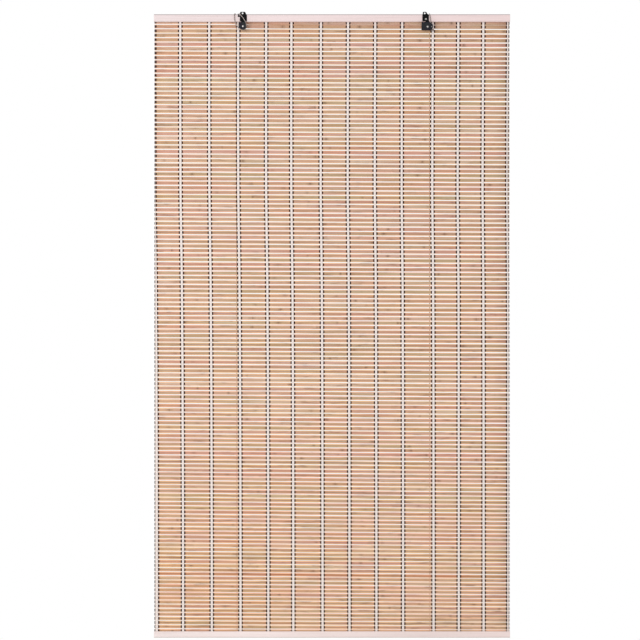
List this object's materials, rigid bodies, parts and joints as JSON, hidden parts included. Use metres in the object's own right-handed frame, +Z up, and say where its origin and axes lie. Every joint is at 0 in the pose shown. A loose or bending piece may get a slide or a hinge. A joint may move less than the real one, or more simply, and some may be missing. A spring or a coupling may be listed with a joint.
{
  "type": "bamboo roll-up blind",
  "caption": "Bamboo roll-up blind: split slats woven with pale tapes and dark yarns between two battens, hung by a pulley hanger and a cord lock hanger.",
  "frame": {"origin": "midway between the two hanging holes, on the back face of the hanger plates", "axes": "+X along the rails to the right as seen from the room, -Y to the room, +Z up"},
  "size_m": [0.9, 0.034, 1.5815],
  "materials": {
    "bamboo": "split bamboo, matt, fine lengthwise grain",
    "cotton_tape": "undyed cotton warp tape",
    "dark_yarn": "dark brown cotton yarn",
    "painted_wood": "smooth pale painted batten, satin",
    "black_steel": "black enamelled sheet steel, glossy",
    "bright_steel": "bright zinc-plated",
    "nail_steel": "plain wire steel",
    "wheel_plastic": "dark moulded nylon",
    "cord": "pale braided polyester cord, 2 mm"
  },
  "bodies": {
    "blind": {"bamboo_mat": "bamboo", "bottom_knot_left": "cord", "bottom_knot_right": "cord", "bottom_rail_back": "painted_wood", "bottom_rail_front": "painted_wood", "bottom_rail_nails": "nail_steel", "cord_eye_left": "nail_steel", "cord_eye_right": "nail_steel", "dark_yarns_01": "dark_yarn", "dark_yarns_02": "dark_yarn", "dark_yarns_03": "dark_yarn", "dark_yarns_04": "dark_yarn", "dark_yarns_05": "dark_yarn", "dark_yarns_06": "dark_yarn", "dark_yarns_07": "dark_yarn", "dark_yarns_08": "dark_yarn", "dark_yarns_09": "dark_yarn", "dark_yarns_10": "dark_yarn", "dark_yarns_11": "dark_yarn", "dark_yarns_12": "dark_yarn", "dark_yarns_13": "dark_yarn", "dark_yarns_14": "dark_yarn", "head_knot_left": "cord", "head_rail_back": "painted_wood", "head_rail_front": "painted_wood", "head_rail_nails": "nail_steel", "lift_cord_left": "cord", "lift_cord_right": "cord", "lock_axle": "bright_steel", "lock_case": "black_steel", "lock_hanger": "black_steel", "lock_hanger_screw": "bright_steel", "lock_knot_right": "cord", "pulley_axle": "bright_steel", "pulley_case": "black_steel", "pulley_hanger": "black_steel", "pulley_hanger_screw": "bright_steel", "woven_tape_01": "cotton_tape", "woven_tape_02": "cotton_tape", "woven_tape_03": "cotton_tape", "woven_tape_04": "cotton_tape", "woven_tape_05": "cotton_tape", "woven_tape_06": "cotton_tape", "woven_tape_07": "cotton_tape", "woven_tape_08": "cotton_tape", "woven_tape_09": "cotton_tape", "woven_tape_10": "cotton_tape", "woven_tape_11": "cotton_tape", "woven_tape_12": "cotton_tape", "woven_tape_13": "cotton_tape", "woven_tape_14": "cotton_tape"},
    "pulley_wheel": {"pulley_wheel": "wheel_plastic"},
    "lock_wheel": {"lock_wheel": "wheel_plastic"},
    "lock_roller": {"lock_roller": "bright_steel"}
  },
  "joints": [
    {"name": "pulley_wheel_spin", "type": "hinge", "parent": "blind", "child": "pulley_wheel", "pos_m": [-0.2288, -0.006, -0.034], "axis": [0, 1, 0], "continuous": true},
    {"name": "lock_wheel_spin", "type": "hinge", "parent": "blind", "child": "lock_wheel", "pos_m": [0.2369, -0.006, -0.035], "axis": [0, 1, 0], "continuous": true},
    {"name": "lock_roller_slide", "type": "slide", "parent": "blind", "child": "lock_roller", "axis": [0.6018, 0, 0.7986], "range_m": [0, 0.002]}
  ]
}
